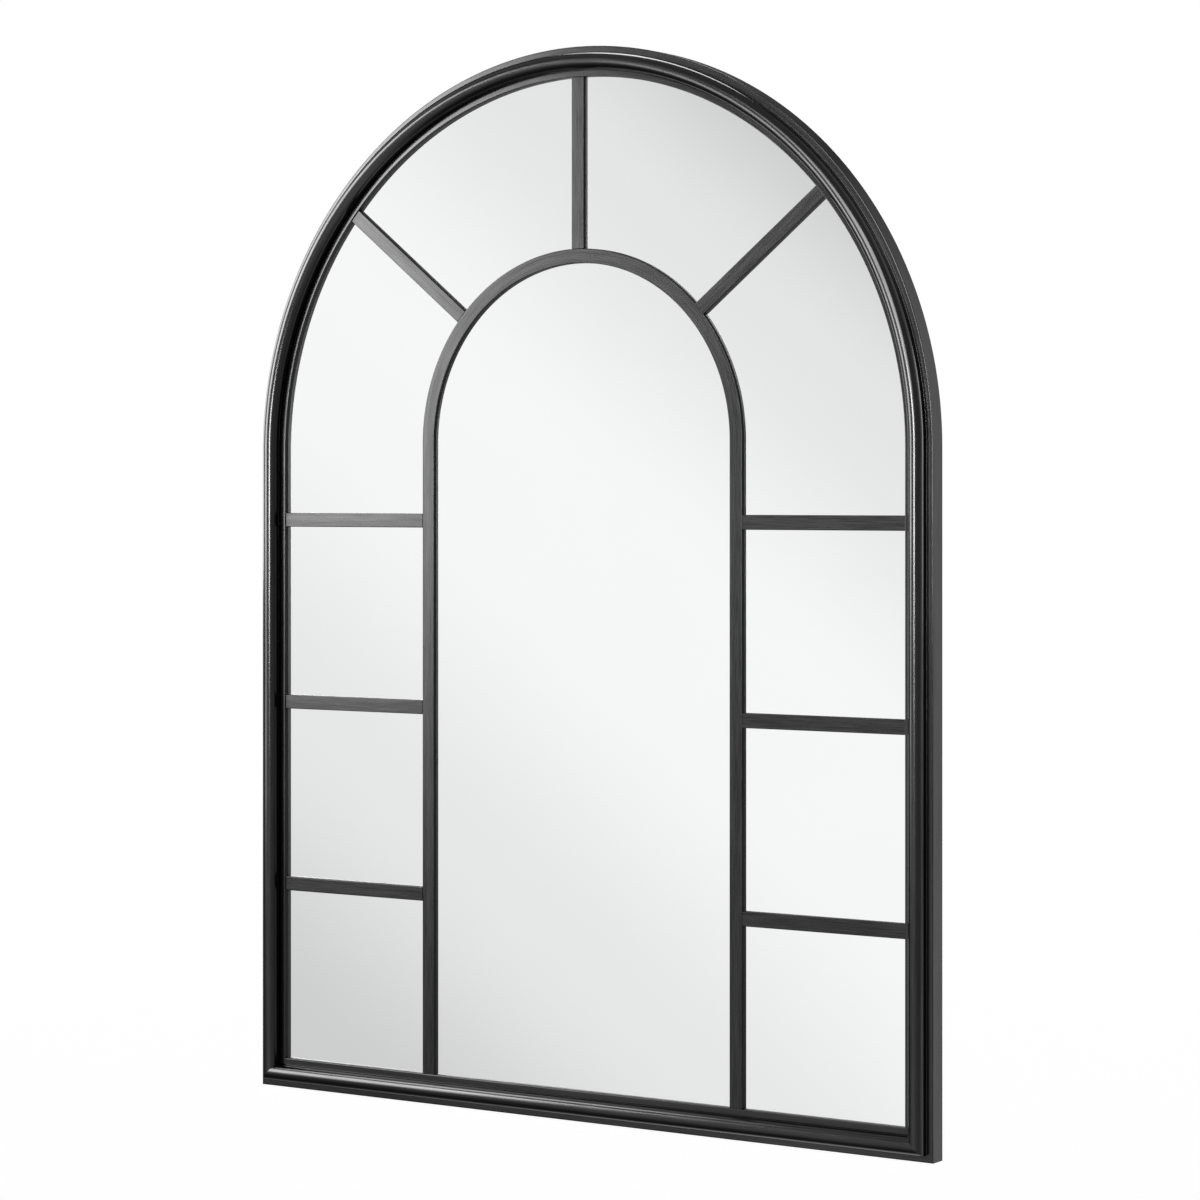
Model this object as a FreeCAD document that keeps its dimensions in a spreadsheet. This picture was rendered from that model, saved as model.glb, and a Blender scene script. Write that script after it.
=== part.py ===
import FreeCAD, Part
import math
import os
import Sketcher

# Arched windowpane mirror for a wall.
# A hollow metal moulding is bent into two stiles and an arch, and a mitred bottom rail closes it.
# One sheet of mirror glass lies in its rebate, with flat metal bars on the glass that divide it into panes.
# A board closes the back, and two swinging rings hang the mirror from hooks.
# Frame: X across, +Z up, the front looks towards -Y, the wall is the plane Y = 0, the underside is Z = 0.
# All lengths are in millimetres, all angles in degrees.

doc = FreeCAD.newDocument("arched_mirror")
sheet = doc.addObject("Spreadsheet::Sheet", "dims")


class Size:
    """A length or an angle: its value, and the expression that ties it to the sheet."""

    def __init__(self, value, text):
        self.value = value
        self.text = text

    def join(self, sign, other, value):
        return Size(value, "(" + self.text + " " + sign + " " + other.text + ")")

    def __add__(self, other):
        other = as_size(other)
        return self.join("+", other, self.value + other.value)

    def __sub__(self, other):
        other = as_size(other)
        return self.join("-", other, self.value - other.value)

    def __mul__(self, other):
        other = as_size(other)
        return self.join("*", other, self.value * other.value)

    def __truediv__(self, other):
        other = as_size(other)
        return self.join("/", other, self.value / other.value)

    def __neg__(self):
        return self * -1


def as_size(number):
    return number if isinstance(number, Size) else Size(float(number), str(float(number)))


def cosine(angle):
    return Size(math.cos(math.radians(angle)), "cos(" + str(angle) + " deg)")


def sine(angle):
    return Size(math.sin(math.radians(angle)), "sin(" + str(angle) + " deg)")


def smaller(first, second):
    return Size(min(first.value, second.value), "min(" + first.text + "; " + second.text + ")")


SIZES = {
    # Outline of the frame
    "width": 762,
    "height": 1016,
    # Section of the moulding, from the outer edge inwards and from the wall forwards
    "moulding_wall": 1.6,
    "ledge_depth": 18,
    "ledge_width": 6.6,
    "ledge_round": 0.8,
    "bead_radius": 7.6,
    "bead_rise": 4.2,
    "groove_width": 0.7,
    "groove_depth": 1.5,
    "lip_width": 6,
    "lip_drop": 0.5,
    "lip_wall": 5,
    "lip_round": 0.5,
    "rebate_width": 9,
    # Glass, tape and board behind the lip
    "glass_thickness": 3,
    "glass_clearance": 1.5,
    "tape_thickness": 1,
    "tape_width": 25,
    "tape_spacing": 180,
    "tape_margin": 70,
    "board_thickness": 3,
    "board_clearance": 0.6,
    # Flat bars on the glass
    "bar_width": 13.7,
    "bar_thickness": 3.9,
    "bar_round": 0.5,
    "bar_gap": 0.25,
    "bar_arch_radius": 182.25,
    "bar_arch_lift": 8,
    "upper_bar_drop": 61,
    "spoke_lift": 21,
    "spoke_lean": 51.4,
    # Keys in the bottom corners
    "key_leg": 55,
    "key_width": 11,
    "key_thickness": 4,
    "key_clearance": 0.4,
    "grub_radius": 2,
    "grub_play": 0.05,
    "grub_access": 0.3,
    "grub_place": 36,
    "socket_radius": 1.15,
    "socket_depth": 2,
    # Screws for the board and the hanger straps
    "screw_radius": 1.75,
    "screw_play": 0.05,
    "screw_bite": 3,
    "head_radius": 3.25,
    "head_height": 1.8,
    "head_round": 0.9,
    "recess_length": 3.4,
    "recess_width": 0.9,
    "recess_depth": 1.1,
    "screw_line": 9,
    "rail_screw_reach": 190,
    "corner_screw_rise": 110,
    "strap_screw_space": 60,
    # Hanger straps and rings
    "hanger_inset": 13.5,
    "hanger_drop": 23,
    "strap_width": 14,
    "strap_length": 40,
    "strap_thickness": 1.2,
    "strap_corner": 3,
    "strap_screw_first": 21,
    "strap_screw_pitch": 12,
    "eye_lift": 0.25,
    "ring_wire": 2.5,
    "ring_play": 0.05,
    "ring_side_play": 1,
    "ring_side": 4.5,
    "ring_bend": 2,
}


class Dimensions:
    """The driving dimensions by name, each written to its own row of the sheet."""

    def __init__(self, sizes):
        for row, (alias, value) in enumerate(sizes.items(), start=1):
            sheet.set("A" + str(row), alias)
            sheet.set("B" + str(row), str(value))
            sheet.setAlias("B" + str(row), alias)
            setattr(self, alias, Size(float(value), "dims." + alias))


dim = Dimensions(SIZES)

# Counts and sides
CROSS_BARS = ("lower", "middle", "upper")
ARCH_SCREWS = 4
STILE_SCREWS = 3
TAPE_STRIPS = 4
SIDES = {"left": -1, "right": 1}

# Sizes worked out from the driving dimensions
half_width = dim.width / 2
spring = dim.height - half_width
bead_inner = dim.ledge_width + dim.bead_radius * 2
face_width = bead_inner + dim.groove_width + dim.lip_width
lip_radius = half_width - face_width
rebate_edge = face_width - dim.rebate_width
lip_front = dim.ledge_depth - dim.lip_drop
glass_front = lip_front - dim.lip_wall
glass_rear = glass_front - dim.glass_thickness
land = glass_rear - dim.tape_thickness
board_rear = land - dim.board_thickness
chamber_rear = land + dim.moulding_wall
chamber_front = dim.ledge_depth - dim.moulding_wall
bead_middle = dim.ledge_depth + dim.bead_rise
groove_floor = lip_front - dim.groove_depth
glass_inset = rebate_edge + dim.glass_clearance
board_inset = dim.moulding_wall + dim.board_clearance
bar_front = glass_front + dim.bar_thickness
bar_spring = spring + dim.bar_arch_lift
key_inset = dim.moulding_wall + dim.key_clearance
screw_hole = dim.screw_radius + dim.screw_play
grub_hole = dim.grub_radius + dim.grub_play
grub_access_hole = dim.grub_radius + dim.grub_access
hanger_place = half_width - dim.hanger_inset
hanger_height = spring - dim.hanger_drop
eye_bore = dim.ring_wire / 2 + dim.ring_play
eye_radius = eye_bore + dim.strap_thickness
eye_seat = eye_radius + dim.eye_lift
ring_reach = dim.strap_width / 2 + dim.ring_side_play + dim.ring_wire / 2

doc.recompute()


def bind(thing, name, size):
    thing.setExpression(name, as_size(size).text)


def new_body(label):
    body = doc.addObject("PartDesign::Body", label)
    body.Label = label
    return body


def place_body(body, x, y, z):
    bind(body, "Placement.Base.x", x)
    bind(body, "Placement.Base.y", y)
    bind(body, "Placement.Base.z", z)


def origin_plane(body, role):
    return next(feature for feature in body.Origin.OriginFeatures if feature.Role == role)


def new_sketch(body, name, role, lift=0):
    """A sketch on one of the body's origin planes, lifted along that plane's normal."""
    sketch = body.newObject("Sketcher::SketchObject", body.Label + "_" + name)
    sketch.AttachmentSupport = [(origin_plane(body, role), "")]
    sketch.MapMode = "FlatFace"
    bind(sketch, "AttachmentOffset.Base.z", lift)
    return sketch


def tie(sketch, constraint, size):
    index = sketch.addConstraint(constraint)
    bind(sketch, "Constraints[" + str(index) + "]", size)


def tie_along(sketch, axis, geometry, point, size):
    """Ties a point to its distance from the sketch's origin along axis 0 or 1."""
    kind = ("DistanceX", "DistanceY")[axis]
    zero_line = (-2, -1)[axis]
    if abs(size.value) < 1e-9:
        sketch.addConstraint(Sketcher.Constraint("PointOnObject", geometry, point, zero_line))
    else:
        tie(sketch, Sketcher.Constraint(kind, -1, 1, geometry, point, size.value), size)


def circle(sketch, x, y, radius):
    x, y = as_size(x), as_size(y)
    centre = FreeCAD.Vector(x.value, y.value, 0)
    geometry = sketch.addGeometry(Part.Circle(centre, FreeCAD.Vector(0, 0, 1), radius.value))
    tie(sketch, Sketcher.Constraint("Radius", geometry, radius.value), radius)
    tie_along(sketch, 0, geometry, 3, x)
    tie_along(sketch, 1, geometry, 3, y)


class Arc:
    """A round stretch of an outline, by its centre and its sense."""

    def __init__(self, x, y, clockwise=True):
        self.centre = (as_size(x), as_size(y))
        self.clockwise = clockwise

    def draw(self, sketch, start, end):
        """The centre is tied on one axis only, because the two ends already settle the other."""
        centre = FreeCAD.Vector(self.centre[0].value, self.centre[1].value, 0)
        first, last = (end, start) if self.clockwise else (start, end)
        angles = [math.atan2(point.y - centre.y, point.x - centre.x) for point in (first, last)]
        if angles[1] <= angles[0]:
            angles[1] += 2 * math.pi
        ring = Part.Circle(centre, FreeCAD.Vector(0, 0, 1), start.distanceToPoint(centre))
        geometry = sketch.addGeometry(Part.ArcOfCircle(ring, angles[0], angles[1]))
        axis = 0 if abs(start.x - end.x) < abs(start.y - end.y) else 1
        tie_along(sketch, axis, geometry, 3, self.centre[axis])
        return geometry


def outline(sketch, corners):
    """Lines from corner to corner; a corner that carries an Arc starts a round stretch."""
    sizes = [(as_size(corner[0]), as_size(corner[1])) for corner in corners]
    points = [FreeCAD.Vector(x.value, y.value, 0) for x, y in sizes]
    before = None
    opening = None
    for number, corner in enumerate(corners):
        end = points[(number + 1) % len(points)]
        arc = corner[2] if len(corner) > 2 else None
        if arc:
            geometry = arc.draw(sketch, points[number], end)
        else:
            geometry = sketch.addGeometry(Part.LineSegment(points[number], end))
        first, last = (2, 1) if arc and arc.clockwise else (1, 2)
        tie_along(sketch, 0, geometry, first, sizes[number][0])
        tie_along(sketch, 1, geometry, first, sizes[number][1])
        if before:
            sketch.addConstraint(Sketcher.Constraint("Coincident", before[0], before[1], geometry, first))
        else:
            opening = (geometry, first)
        before = (geometry, last)
    sketch.addConstraint(Sketcher.Constraint("Coincident", before[0], before[1], opening[0], opening[1]))


def pad(body, sketch, length, backwards=False, both_ways=False):
    feature = body.newObject("PartDesign::Pad", sketch.Name + "_pad")
    feature.Profile = sketch
    feature.Reversed = backwards
    feature.SideType = "Symmetric" if both_ways else "One side"
    bind(feature, "Length", length)
    doc.recompute()
    return feature


def pocket(body, sketch, depth=None):
    """Cuts the sketch out of the body, right through or to a depth along the plane's normal."""
    whole = body.Shape.Volume
    feature = body.newObject("PartDesign::Pocket", sketch.Name + "_cut")
    feature.Profile = sketch
    if depth is None:
        feature.Type = "ThroughAll"
        feature.SideType = "Symmetric"
    else:
        feature.Reversed = True
        bind(feature, "Length", depth)
    doc.recompute()
    if feature.Shape.Volume >= whole:
        raise RuntimeError(sketch.Name + " cuts nothing")
    return feature


def revolve(body, sketch, angle):
    """Turns the sketch about its own upright axis."""
    feature = body.newObject("PartDesign::Revolution", sketch.Name + "_turn")
    feature.Profile = sketch
    feature.ReferenceAxis = (sketch, ["V_Axis"])
    feature.Angle = angle
    feature.Reversed = True
    doc.recompute()
    return feature


def mirror_across(body, feature):
    """Repeats a feature on the other side of the middle plane X = 0."""
    twin = body.newObject("PartDesign::Mirrored", feature.Name + "_twin")
    twin.Originals = [feature]
    twin.MirrorPlane = (origin_plane(body, "YZ_Plane"), [""])
    body.Tip = twin
    doc.recompute()
    return twin


def round_edges(body, radius, wanted):
    """Fillets every edge whose middle point the test accepts."""
    base = body.Tip
    names = []
    for number, edge in enumerate(base.Shape.Edges, start=1):
        middle = edge.valueAt((edge.FirstParameter + edge.LastParameter) / 2)
        if wanted(middle):
            names.append("Edge" + str(number))
    feature = body.newObject("PartDesign::Fillet", body.Label + "_rounding")
    feature.Base = (base, names)
    bind(feature, "Radius", radius)
    doc.recompute()
    return feature


def copies(label, master, places):
    """One node of separate, equal pieces: links to a master body, each at its own place."""
    links = []
    for number, place in enumerate(places):
        link = doc.addObject("App::Link", label + "_" + str(number))
        link.LinkedObject = master
        place_body(link, *place)
        links.append(link)
    group = doc.addObject("Part::Compound", label)
    group.Label = label
    group.Links = links
    return group


# Where the screws go, seen from the back: X and Z of each
strap_foot = hanger_height - dim.strap_length
stile_screw_top = strap_foot - dim.strap_screw_space
stile_screw_pitch = (stile_screw_top - dim.corner_screw_rise) / (STILE_SCREWS - 1)
arch_screw_radius = half_width - dim.screw_line

rail_screws = [(dim.rail_screw_reach * side, dim.screw_line) for side in SIDES.values()]
stile_screws = []
strap_screws = []
for side in SIDES.values():
    for number in range(STILE_SCREWS):
        stile_screws.append((arch_screw_radius * side, dim.corner_screw_rise + stile_screw_pitch * number))
    for drop in (dim.strap_screw_first, dim.strap_screw_first + dim.strap_screw_pitch):
        strap_screws.append((hanger_place * side, hanger_height - drop))
arch_screws = []
for number in range(1, ARCH_SCREWS + 1):
    angle = 180 * number / (ARCH_SCREWS + 1)
    arch_screws.append((arch_screw_radius * cosine(angle), spring + arch_screw_radius * sine(angle)))

stile_grubs = []
rail_grubs = []
for side in SIDES.values():
    stile_grubs.append(((half_width - key_inset - dim.key_width / 2) * side, key_inset + dim.grub_place))
    rail_grubs.append(((half_width - key_inset - dim.grub_place) * side, key_inset + dim.key_width / 2))


# Moulding: its section is laid out as distance from the outer edge and distance from the wall

def moulding_outside(place):
    ledge_corner = place(dim.ledge_round, dim.ledge_depth - dim.ledge_round)
    bead_centre = place(dim.ledge_width + dim.bead_radius, bead_middle)
    return [
        place(0, 0),
        (*place(0, dim.ledge_depth - dim.ledge_round), Arc(*ledge_corner)),
        place(dim.ledge_round, dim.ledge_depth),
        place(dim.ledge_width, dim.ledge_depth),
        (*place(dim.ledge_width, bead_middle), Arc(*bead_centre)),
        place(bead_inner, bead_middle),
        place(bead_inner, groove_floor),
        place(bead_inner + dim.groove_width, groove_floor),
        place(bead_inner + dim.groove_width, lip_front),
        place(face_width, lip_front),
        place(face_width, glass_front),
        place(rebate_edge, glass_front),
        place(rebate_edge, land),
        place(dim.moulding_wall, land),
        place(dim.moulding_wall, 0),
    ]


def moulding_chamber(place):
    bead_centre = place(dim.ledge_width + dim.bead_radius, bead_middle)
    return [
        place(dim.moulding_wall, chamber_rear),
        place(dim.moulding_wall, chamber_front),
        place(dim.ledge_width + dim.moulding_wall, chamber_front),
        (*place(dim.ledge_width + dim.moulding_wall, bead_middle), Arc(*bead_centre)),
        place(bead_inner - dim.moulding_wall, bead_middle),
        place(bead_inner - dim.moulding_wall, glass_front + dim.moulding_wall),
        place(rebate_edge - dim.moulding_wall, glass_front + dim.moulding_wall),
        place(rebate_edge - dim.moulding_wall, chamber_rear),
    ]


def cut_land_holes(body, name, places, radius):
    """Holes through the rear land into the hollow of the moulding."""
    holes = new_sketch(body, name, "XZ_Plane", land)
    for x, z in places:
        circle(holes, x, z, radius)
    pocket(body, holes, dim.moulding_wall)


def cut_mitres(body, stiles):
    """Cuts both bottom corners at 45 degrees and keeps the stiles' side or the rail's side."""
    mitres = new_sketch(body, "mitres", "XZ_Plane")
    foot = -face_width
    top = face_width * 2
    for side in SIDES.values():
        outer = (half_width + face_width) * side
        inner = (half_width - face_width * 2) * side
        waste = (inner, foot) if stiles else (outer, top)
        outline(mitres, [(outer, foot), (inner, top), waste])
    pocket(body, mitres)


lip_rounding = smaller(dim.lip_round, dim.groove_depth * 0.4)


def is_lip_edge(inset, depth):
    outer_corner = (bead_inner.value + dim.groove_width.value, lip_front.value)
    inner_corner = (face_width.value, lip_front.value)
    return any(math.dist((inset, depth), corner) < 0.05 for corner in (outer_corner, inner_corner))


def arch_inset(point):
    """How far a point of the stiles or the arch lies inside the outer edge."""
    if point.z > spring.value:
        return half_width.value - math.hypot(point.x, point.z - spring.value)
    return half_width.value - abs(point.x)


frame_arch = new_body("frame_arch")
section = new_sketch(frame_arch, "section", "XY_Plane", spring)
outline(section, moulding_outside(lambda inset, depth: (half_width - inset, -as_size(depth))))
outline(section, moulding_chamber(lambda inset, depth: (half_width - inset, -as_size(depth))))
revolve(frame_arch, section, 180)
stile = pad(frame_arch, section, spring, backwards=True)
mirror_across(frame_arch, stile)
round_edges(frame_arch, lip_rounding, lambda point: is_lip_edge(arch_inset(point), -point.y))
cut_mitres(frame_arch, stiles=True)
cut_land_holes(frame_arch, "holes", stile_screws + arch_screws + strap_screws, screw_hole)
cut_land_holes(frame_arch, "grub_access", stile_grubs, grub_access_hole)

bottom_rail = new_body("bottom_rail")
section = new_sketch(bottom_rail, "section", "YZ_Plane")
outline(section, moulding_outside(lambda inset, depth: (-as_size(depth), as_size(inset))))
outline(section, moulding_chamber(lambda inset, depth: (-as_size(depth), as_size(inset))))
pad(bottom_rail, section, dim.width, both_ways=True)
round_edges(bottom_rail, lip_rounding, lambda point: is_lip_edge(point.z, -point.y))
cut_mitres(bottom_rail, stiles=False)
cut_land_holes(bottom_rail, "holes", rail_screws, screw_hole)
cut_land_holes(bottom_rail, "grub_access", rail_grubs, grub_access_hole)


# Corner keys: flat angles in the hollow of the moulding, clamped by grub screws through the key

def make_corner_key(label, side):
    body = new_body(label)
    plate = new_sketch(body, "plate", "XZ_Plane", chamber_rear)
    outer = half_width - key_inset
    corners = [
        (outer, key_inset),
        (outer, key_inset + dim.key_leg),
        (outer - dim.key_width, key_inset + dim.key_leg),
        (outer - dim.key_width, key_inset + dim.key_width),
        (outer - dim.key_leg, key_inset + dim.key_width),
        (outer - dim.key_leg, key_inset),
    ]
    outline(plate, [(x * side, z) for x, z in corners])
    circle(plate, (outer - dim.key_width / 2) * side, key_inset + dim.grub_place, grub_hole)
    circle(plate, (outer - dim.grub_place) * side, key_inset + dim.key_width / 2, grub_hole)
    pad(body, plate, dim.key_thickness)
    return body


corner_keys = [make_corner_key("corner_key_" + name, side) for name, side in SIDES.items()]

grub = new_body("grub_screw_master")
shank = new_sketch(grub, "shank", "XZ_Plane")
circle(shank, 0, 0, dim.grub_radius)
pad(grub, shank, chamber_front - chamber_rear)
socket = new_sketch(grub, "socket", "XZ_Plane")
outline(socket, [(dim.socket_radius * cosine(60 * k), dim.socket_radius * sine(60 * k)) for k in range(6)])
pocket(grub, socket, dim.socket_depth)
grub_places = [(x, -chamber_rear, z) for x, z in stile_grubs + rail_grubs]
key_grub_screws = copies("key_grub_screws", grub, grub_places)


# Glass, tape and board

def arched_sheet(label, inset, rear, thickness, holes):
    """A sheet that follows the frame's outline at a distance inside it."""
    body = new_body(label)
    sheet_outline = new_sketch(body, "outline", "XZ_Plane", rear)
    reach = half_width - inset
    corners = [
        (-reach, inset),
        (reach, inset),
        (reach, spring, Arc(0, spring, clockwise=False)),
        (-reach, spring),
    ]
    outline(sheet_outline, corners)
    for x, z in holes:
        circle(sheet_outline, x, z, screw_hole)
    pad(body, sheet_outline, thickness)
    return body


mirror_glass = arched_sheet("mirror_glass", glass_inset, glass_rear, dim.glass_thickness, [])
board_holes = rail_screws + stile_screws + arch_screws + strap_screws
backing_board = arched_sheet("backing_board", board_inset, board_rear, dim.board_thickness, board_holes)

strip = new_body("tape_strip_master")
strip_face = new_sketch(strip, "face", "XZ_Plane")
strip_length = spring - glass_inset - dim.tape_margin
strip_corners = [(0, 0), (dim.tape_width, 0), (dim.tape_width, strip_length), (0, strip_length)]
outline(strip_face, strip_corners)
pad(strip, strip_face, dim.tape_thickness)
strip_places = []
for number in range(TAPE_STRIPS):
    middle = dim.tape_spacing * (number - (TAPE_STRIPS - 1) / 2)
    strip_places.append((middle - dim.tape_width / 2, -land, glass_inset + dim.tape_margin))
mounting_tape = copies("mounting_tape", strip, strip_places)


# Flat bars: each lies on the glass, and its two front edges are rounded

def bar_section(place):
    """The bar's section across its width, from one side to the other, and out from the wall."""
    shoulder = bar_front - dim.bar_round
    far_round = dim.bar_width - dim.bar_round
    return [
        place(0, glass_front),
        (*place(0, shoulder), Arc(*place(dim.bar_round, shoulder))),
        place(dim.bar_round, bar_front),
        (*place(far_round, bar_front), Arc(*place(far_round, shoulder))),
        place(dim.bar_width, shoulder),
        place(dim.bar_width, glass_front),
    ]


inner_arch_bar = new_body("inner_arch_bar")
section = new_sketch(inner_arch_bar, "section", "XY_Plane", bar_spring)
outline(section, bar_section(lambda across, depth: (dim.bar_arch_radius - across, -depth)))
revolve(inner_arch_bar, section, 180)
leg = pad(inner_arch_bar, section, bar_spring - face_width - dim.bar_gap, backwards=True)
mirror_across(inner_arch_bar, leg)


def make_spoke(label, side):
    """A straight bar from the inner arch to the frame, its ends cut to both arches."""
    body = new_body(label)
    section = new_sketch(body, "section", "XY_Plane", spring + dim.spoke_lift)
    if side:
        tilt = FreeCAD.Rotation(FreeCAD.Vector(0, side, 0), dim.spoke_lean.value)
        section.AttachmentOffset = FreeCAD.Placement(FreeCAD.Vector(), tilt)
        bind(section, "AttachmentOffset.Rotation.Angle", dim.spoke_lean)
        bind(section, "AttachmentOffset.Base.z", spring + dim.spoke_lift)
    outline(section, bar_section(lambda across, depth: (dim.bar_width / 2 - across, -depth)))
    pad(body, section, half_width)
    inner_end = new_sketch(body, "inner_end", "XZ_Plane")
    circle(inner_end, 0, bar_spring, dim.bar_arch_radius + dim.bar_gap)
    pocket(body, inner_end)
    outer_end = new_sketch(body, "outer_end", "XZ_Plane")
    circle(outer_end, 0, spring, lip_radius - dim.bar_gap)
    circle(outer_end, 0, spring, dim.width)
    pocket(body, outer_end)
    return body


spokes = [make_spoke("spoke_" + name, side) for name, side in (("left", -1), ("top", 0), ("right", 1))]

cross_bar_length = lip_radius - dim.bar_arch_radius - dim.bar_gap * 2
pane_height = (spring - dim.upper_bar_drop - face_width) / len(CROSS_BARS) - dim.bar_width


def make_cross_bar(label, side, number):
    """A level bar from the inner arch's leg to the stile, above the pane of that number."""
    body = new_body(label)
    inner_end = dim.bar_arch_radius + dim.bar_gap
    start = inner_end if side > 0 else -inner_end - cross_bar_length
    section = new_sketch(body, "section", "YZ_Plane", start)
    foot = face_width + (pane_height + dim.bar_width) * number + pane_height
    outline(section, bar_section(lambda across, depth: (-depth, foot + across)))
    pad(body, section, cross_bar_length)
    return body


cross_bars = []
for side_name, side in SIDES.items():
    for number, level in enumerate(CROSS_BARS):
        cross_bars.append(make_cross_bar("cross_bar_" + side_name + "_" + level, side, number))


# Screws: one pan head screw serves the board and the straps; its head's seat is at its origin

screw = new_body("screw_master")
screw_length = dim.strap_thickness + dim.board_thickness + dim.moulding_wall + dim.screw_bite
head_crown = dim.head_radius - dim.head_round
head_shoulder = dim.head_height - dim.head_round
profile = new_sketch(screw, "profile", "XY_Plane")
screw_corners = [
    (0, -screw_length),
    (dim.screw_radius, dim.screw_radius - screw_length),
    (dim.screw_radius, 0),
    (dim.head_radius, 0),
    (dim.head_radius, head_shoulder, Arc(head_crown, head_shoulder, clockwise=False)),
    (head_crown, dim.head_height),
    (0, dim.head_height),
]
outline(profile, screw_corners)
revolve(screw, profile, 360)
recess = new_sketch(screw, "recess", "XZ_Plane", -dim.head_height)
arm = dim.recess_length / 2
edge = dim.recess_width / 2
cross = [
    (arm, -edge), (arm, edge), (edge, edge),
    (edge, arm), (-edge, arm), (-edge, edge),
    (-arm, edge), (-arm, -edge), (-edge, -edge),
    (-edge, -arm), (edge, -arm), (edge, -edge),
]
outline(recess, cross)
pocket(screw, recess, dim.recess_depth)

board_screw_places = rail_screws + stile_screws + arch_screws
board_screws = copies("board_screws", screw, [(x, -board_rear, z) for x, z in board_screw_places])
strap_seat = board_rear - dim.strap_thickness
strap_screws_node = copies("strap_screws", screw, [(x, -strap_seat, z) for x, z in strap_screws])


# Hangers: each strap has an eye rolled round the straight side of a ring; their origin is the eye's axis

def make_strap(label, side):
    body = new_body(label)
    place_body(body, hanger_place * side, eye_seat - board_rear, hanger_height)
    plate = new_sketch(body, "plate", "XZ_Plane", eye_seat - dim.strap_thickness)
    half = dim.strap_width / 2
    foot_round = dim.strap_corner - dim.strap_length
    corners = [
        (-half, 0),
        (half, 0),
        (half, foot_round, Arc(half - dim.strap_corner, foot_round)),
        (half - dim.strap_corner, -dim.strap_length),
        (dim.strap_corner - half, -dim.strap_length, Arc(dim.strap_corner - half, foot_round)),
        (-half, foot_round),
    ]
    outline(plate, corners)
    for drop in (dim.strap_screw_first, dim.strap_screw_first + dim.strap_screw_pitch):
        circle(plate, 0, -drop, screw_hole)
    pad(body, plate, dim.strap_thickness)
    eye = new_sketch(body, "eye", "YZ_Plane")
    circle(eye, 0, 0, eye_radius)
    circle(eye, 0, 0, eye_bore)
    pad(body, eye, dim.strap_width, both_ways=True)
    return body


def make_ring(label, side):
    body = new_body(label)
    place_body(body, hanger_place * side, eye_seat - board_rear, hanger_height)
    path = new_sketch(body, "path", "XZ_Plane")
    bar_end = ring_reach - dim.ring_bend
    corners = [
        (0, 0),
        (bar_end, 0, Arc(bar_end, -dim.ring_bend)),
        (ring_reach, -dim.ring_bend),
        (ring_reach, -dim.ring_side, Arc(0, -dim.ring_side)),
        (-ring_reach, -dim.ring_side),
        (-ring_reach, -dim.ring_bend, Arc(-bar_end, -dim.ring_bend)),
        (-bar_end, 0),
    ]
    outline(path, corners)
    wire = new_sketch(body, "wire", "YZ_Plane")
    circle(wire, 0, 0, dim.ring_wire / 2)
    pipe = body.newObject("PartDesign::AdditivePipe", body.Label + "_pipe")
    pipe.Profile = wire
    pipe.Spine = path
    doc.recompute()
    return body


hanger_straps = [make_strap("hanger_strap_" + name, side) for name, side in SIDES.items()]
hanger_rings = [make_ring("hanger_ring_" + name, side) for name, side in SIDES.items()]

nodes = [frame_arch, bottom_rail, *corner_keys, key_grub_screws]
nodes += [mirror_glass, mounting_tape, backing_board, board_screws]
nodes += [inner_arch_bar, *spokes, *cross_bars]
nodes += [*hanger_straps, *hanger_rings, strap_screws_node]

# Every object has to be sound before anything is written
doc.recompute()
for thing in doc.Objects:
    if "Invalid" in thing.State or "Error" in thing.State:
        raise RuntimeError(thing.Label + " did not build: " + str(thing.State))
for node in nodes:
    if node.Shape.isNull() or not node.Shape.isValid():
        raise RuntimeError(node.Label + " has no valid shape")

os.makedirs("parts", exist_ok=True)
for node in nodes:
    node.Shape.exportStep("parts/" + node.Label + ".step")
    print(node.Label, len(node.Shape.Solids), "solids", round(node.Shape.Volume), "mm3")
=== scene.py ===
# %% [markdown]
# # An arched windowpane mirror
#
# This lesson dresses a wall mirror: a brushed gunmetal frame with a half-round bead, flat bars that
# divide one sheet of silvered glass into panes, and a boarded back that hangs from two D-rings. The
# construction model gives every piece its shape and place. Here the polished pieces are swept again with
# finer points, and all of them get finish, light and a camera. Each step says what the real thing is, how
# it could be made, and why it is made this way.

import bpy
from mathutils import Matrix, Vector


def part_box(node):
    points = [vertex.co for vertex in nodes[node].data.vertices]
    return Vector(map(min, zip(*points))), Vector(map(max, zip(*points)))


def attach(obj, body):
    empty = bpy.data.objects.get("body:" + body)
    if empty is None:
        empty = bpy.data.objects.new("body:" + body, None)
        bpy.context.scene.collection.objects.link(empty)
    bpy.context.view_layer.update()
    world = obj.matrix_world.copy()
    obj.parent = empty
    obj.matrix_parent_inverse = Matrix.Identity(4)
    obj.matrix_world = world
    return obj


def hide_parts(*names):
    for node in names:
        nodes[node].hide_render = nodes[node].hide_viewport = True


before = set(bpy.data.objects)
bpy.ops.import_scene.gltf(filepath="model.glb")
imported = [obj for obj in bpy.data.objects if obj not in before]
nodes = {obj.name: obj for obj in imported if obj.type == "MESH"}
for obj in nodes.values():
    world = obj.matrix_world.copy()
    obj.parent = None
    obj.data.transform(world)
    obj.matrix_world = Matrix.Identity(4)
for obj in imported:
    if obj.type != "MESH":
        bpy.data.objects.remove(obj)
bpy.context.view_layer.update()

# %% [markdown]
# ## The camera
#
# A product photograph of a tall thing is usually taken with a level camera, so that upright edges stay
# upright, and the lens is shifted instead of the camera being tipped. Here the camera stands to the right
# of the mirror, a little higher than its middle, and looks 33.7 degrees to the left. The focal length and
# the shift were found by matching the frame's outline and bars, and both are written in pixels of the
# square picture and then turned into Blender's terms.

# %% Camera
import math

import bpy

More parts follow.
